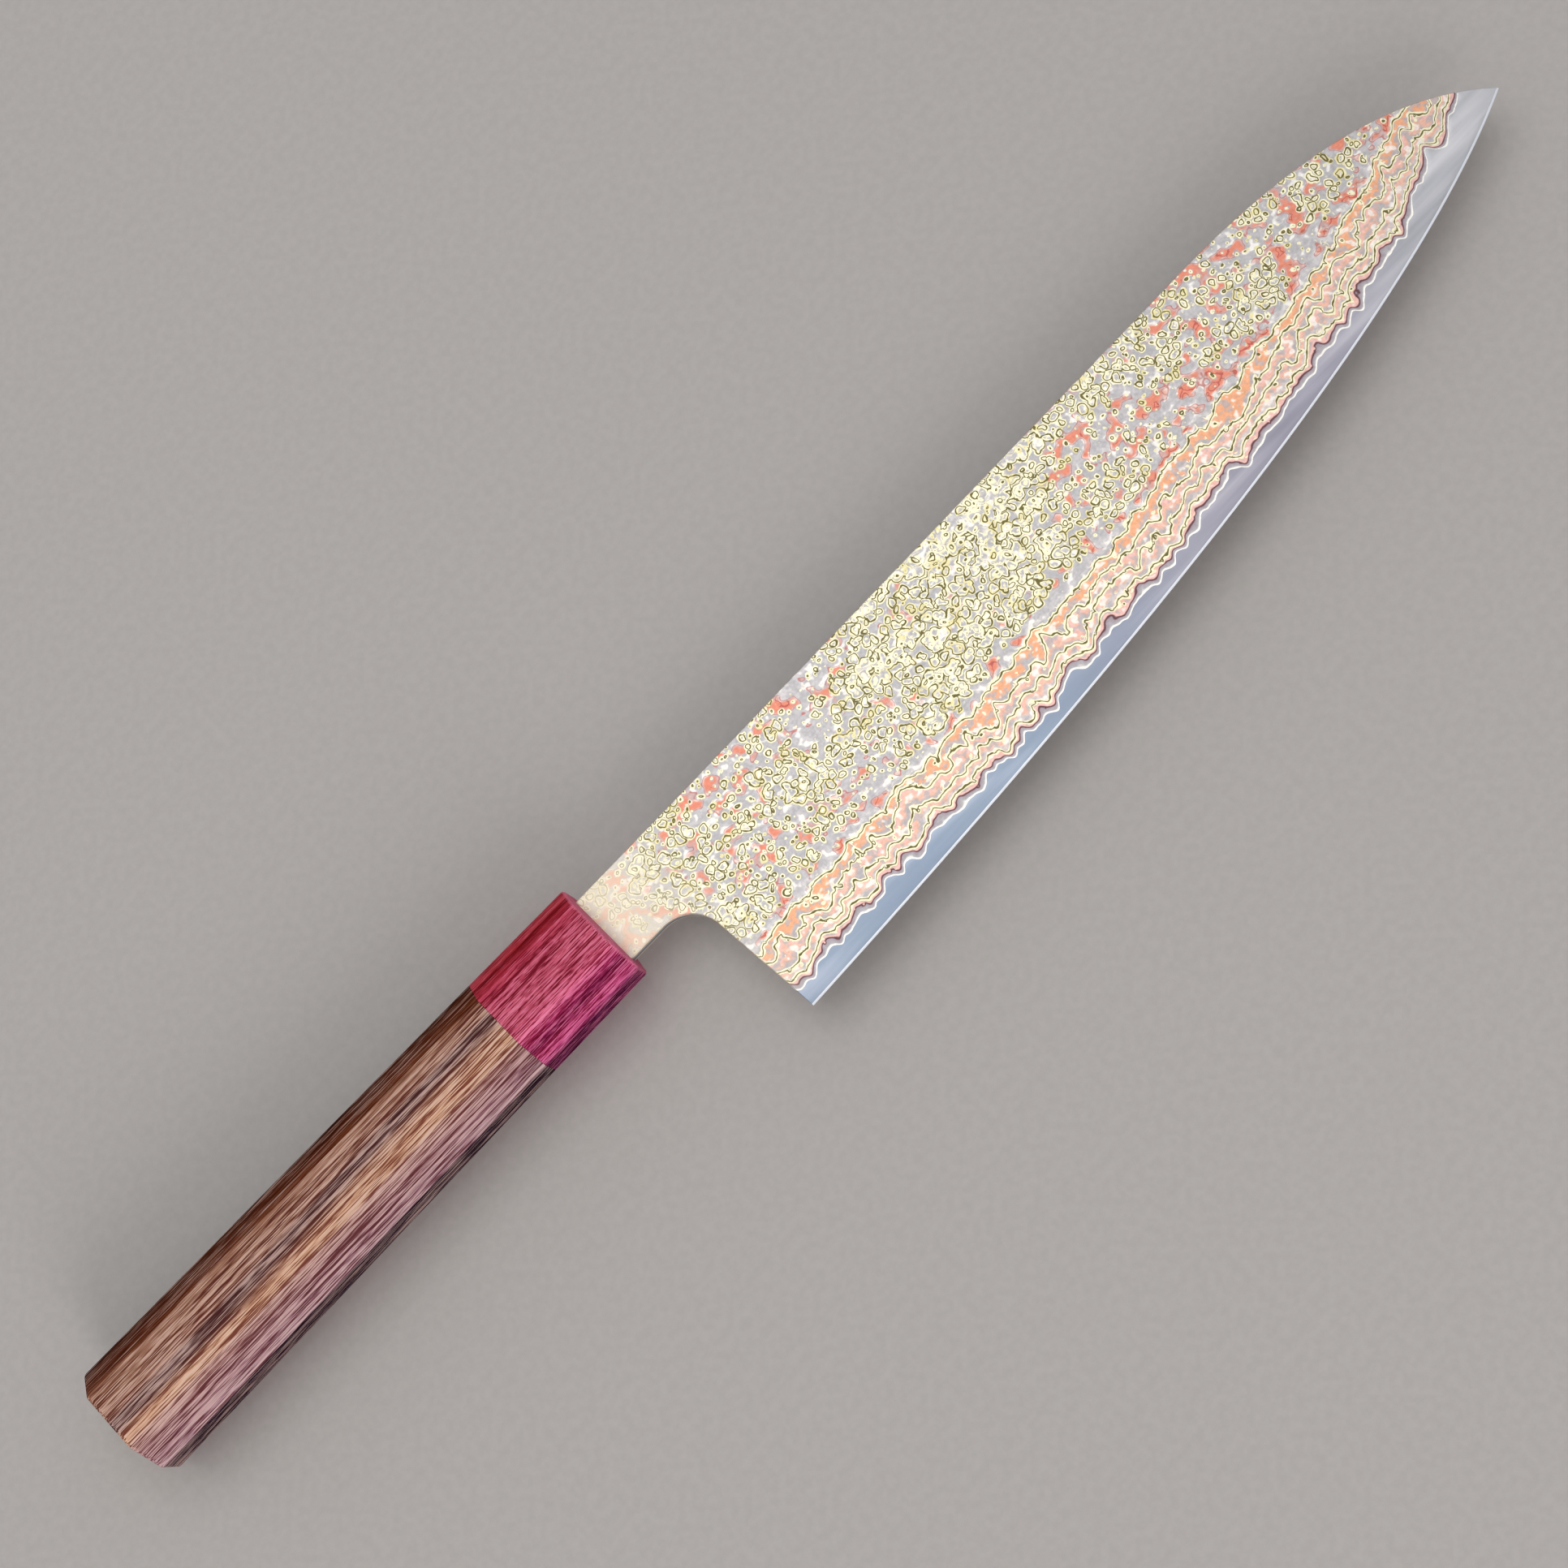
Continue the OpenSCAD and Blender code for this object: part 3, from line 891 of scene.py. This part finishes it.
def handle_wood(name):
    # Bands: the dark upper chamfer (0.00 to 0.98) and the near-black bottom facet (3.02 to 3.10) are
    # painted shade, and the golden main facet and the mauve lower chamfer are partly painted sheen,
    # over the wood's own browns and purples.
    return streaked_wood(name, (
        (0.00, srgb(66, 32, 18)), (0.50, srgb(90, 40, 18)), (0.98, srgb(116, 60, 34)),
        (1.03, srgb(156, 112, 90)), (1.27, srgb(160, 116, 98)), (1.36, srgb(118, 90, 86)),
        (1.47, srgb(126, 94, 88)), (1.60, srgb(186, 140, 114)), (1.80, srgb(212, 162, 128)),
        (1.98, srgb(192, 146, 120)), (2.03, srgb(196, 154, 142)), (2.30, srgb(168, 124, 124)),
        (2.60, srgb(160, 116, 124)), (2.95, srgb(176, 138, 146)), (3.02, srgb(60, 38, 58)),
        (3.10, srgb(30, 18, 38)),
    ), dark=srgb(142, 88, 92), light=srgb(230, 192, 178), rough=0.5, contrast=0.8, length=20.0,
        drift=0.22)


def ferrule_wood(name):
    # Bands: the deep red upper chamfer (0.52 to 0.66) and the dark purple bottom facet (3.00 to 3.10)
    # are painted shade, and the bright pink band on the lower ridge (1.96 to 2.06) is a painted
    # highlight, over the ferrule's own crimson.
    return streaked_wood(name, (
        (0.00, srgb(168, 60, 72)), (0.42, srgb(188, 58, 68)), (0.52, srgb(132, 14, 26)),
        (0.66, srgb(140, 18, 32)), (0.80, srgb(186, 54, 70)), (0.98, srgb(156, 30, 48)),
        (1.04, srgb(194, 72, 94)), (1.25, srgb(176, 62, 84)), (1.52, srgb(202, 90, 114)),
        (1.75, srgb(186, 74, 98)), (1.96, srgb(226, 106, 138)), (2.06, srgb(226, 108, 148)),
        (2.22, srgb(186, 60, 110)), (2.42, srgb(130, 30, 76)), (2.68, srgb(208, 84, 134)),
        (2.84, srgb(204, 82, 134)), (3.00, srgb(108, 22, 74)), (3.10, srgb(70, 6, 58)),
    ), dark=srgb(150, 60, 90), light=srgb(238, 132, 160), rough=0.44, contrast=0.62, length=9.0)


def plain_wood(name, colour, dark):
    """Light straight-grained wood of the hidden dowel."""
    graph = Graph(name)
    grain = graph.noise(graph.sized(graph.place, 12.0, 0.6), detail=3)
    tint = graph.mix(graph.fade(grain, -0.25, 0.25), colour, dark)
    return graph.finish(tint, graph.total((0.2, grain), (1.0, 0.6)), 0.0, grain, 0.05)


def tang_steel(name):
    """Unpolished steel with forge scale."""
    graph = Graph(name)
    scale = graph.noise(graph.sized(graph.place, 1.6, 1.6), detail=4)
    colour = graph.mix(graph.fade(scale, -0.2, 0.25), srgb(120, 122, 128), srgb(74, 72, 74))
    return graph.finish(colour, graph.total((0.4, scale), (1.0, 0.5)), 0.9, scale, 0.05)


def adhesive(name):
    """Set adhesive with small bubbles."""
    graph = Graph(name)
    bubbles = graph.add("ShaderNodeTexVoronoi", {
        "Vector": graph.sized(graph.place, 0.8, 0.8), "Scale": 1.0,
    })
    pit = graph.fade(bubbles.outputs["Distance"], 0.0, 0.4)
    colour = graph.mix(pit, srgb(176, 150, 104), srgb(222, 200, 150))
    return graph.finish(colour, graph.total((0.2, pit), (1.0, 0.35)), 0.0, pit, 0.08)


def dress(piece, material):
    piece.data.materials.clear()
    piece.data.materials.append(material)


# ---------------------------------------------------------------- stage

def add_area_light(name, location, target, size, power, colour=(1, 1, 1)):
    light = bpy.data.lights.new(name, "AREA")
    light.shape = "DISK"
    light.size = size
    light.energy = power
    light.color = colour
    lamp = bpy.data.objects.new(name, light)
    lamp.location = location
    lamp.rotation_mode = "QUATERNION"
    lamp.rotation_quaternion = (Vector(location) - Vector(target)).to_track_quat("Z", "Y")
    bpy.context.scene.collection.objects.link(lamp)


def add_floor():
    """A pale matt floor under the whole object."""
    bm = bmesh.new()
    bmesh.ops.create_grid(bm, x_segments=1, y_segments=1, size=20)
    mesh = bpy.data.meshes.new("floor")
    bm.to_mesh(mesh)
    bm.free()
    floor = add_piece("floor", mesh)
    floor.location.z = cad_bounds[0].z
    graph = Graph("pale_floor")
    grain = graph.noise(graph.sized(graph.place, 2.0, 2.0), detail=2)
    colour = graph.mix(graph.fade(grain, -0.3, 0.3), srgb(176, 172, 168), srgb(182, 178, 174))
    dress(floor, graph.finish(colour, 0.8, 0.0, grain, 0.01))


def add_camera():
    """Looks down at the knife from the edge's side, with the knife lying across the picture."""
    aim = place((48.95, -5.28, -1.57))
    distance = 0.65
    tilt = radians(16.6)
    turn = radians(45.97)
    back = Vector((0, -sin(tilt), cos(tilt)))
    flat_up = Vector((0, cos(tilt), sin(tilt)))
    flat_right = Vector((1, 0, 0))
    right = cos(turn) * flat_right - sin(turn) * flat_up
    up = sin(turn) * flat_right + cos(turn) * flat_up
    camera = bpy.data.cameras.new("camera")
    camera.lens = 70.14
    camera.sensor_width = 36
    camera.clip_start, camera.clip_end = 0.01, 100
    eye = bpy.data.objects.new("camera", camera)
    turned = Matrix((right, up, back)).transposed().to_4x4()
    eye.matrix_world = Matrix.Translation(aim + back * distance) @ turned
    bpy.context.scene.collection.objects.link(eye)
    bpy.context.scene.camera = eye


def add_lights():
    world = bpy.data.worlds.new("studio")
    world.use_nodes = True
    world.node_tree.nodes["Background"].inputs["Color"].default_value = srgb(238, 238, 242)
    world.node_tree.nodes["Background"].inputs["Strength"].default_value = 0.62
    bpy.context.scene.world = world
    add_area_light("softbox", (0.0, 0.42, 1.4), (0.05, 0, 0), 1.3, 6.0, (1.0, 0.98, 0.95))
    add_area_light("side_light", (-0.5, -1.4, 0.8), (0, 0, 0), 0.9, 9.0, (1.0, 0.95, 0.93))


# ---------------------------------------------------------------- the knife

add_camera()
add_lights()
add_floor()

core = make_core()
dress(core, core_finish("core_steel"))
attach(core, "root")
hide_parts("core_steel")

for side_name, side, shift in (("right", 1, (0, 0, 0)), ("left", -1, (0.37, 0.21, 0))):
    cladding = make_cladding(side_name + "_cladding", side)
    dress(cladding, damascus(side_name + "_damascus", shift))
    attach(cladding, "root")
    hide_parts(*[side_name + "_" + sheet for sheet in SHEET_NAMES])

for shell, node, slot, material in (
    (make_ferrule(), "ferrule", "ferrule_wood", ferrule_wood("ferrule_wood")),
    (make_handle_body(), "handle_body", "handle_wood", handle_wood("handle_wood")),
):
    dress(shell, material)
    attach(shell, "root")
    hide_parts(node)

dress(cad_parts["tang"], tang_steel("tang_steel"))
dress(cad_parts["tang_adhesive"], adhesive("adhesive"))
dress(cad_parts["handle_dowel"], plain_wood("dowel_wood", srgb(214, 180, 132), srgb(186, 146, 98)))

bpy.context.scene.view_settings.view_transform = "Standard"
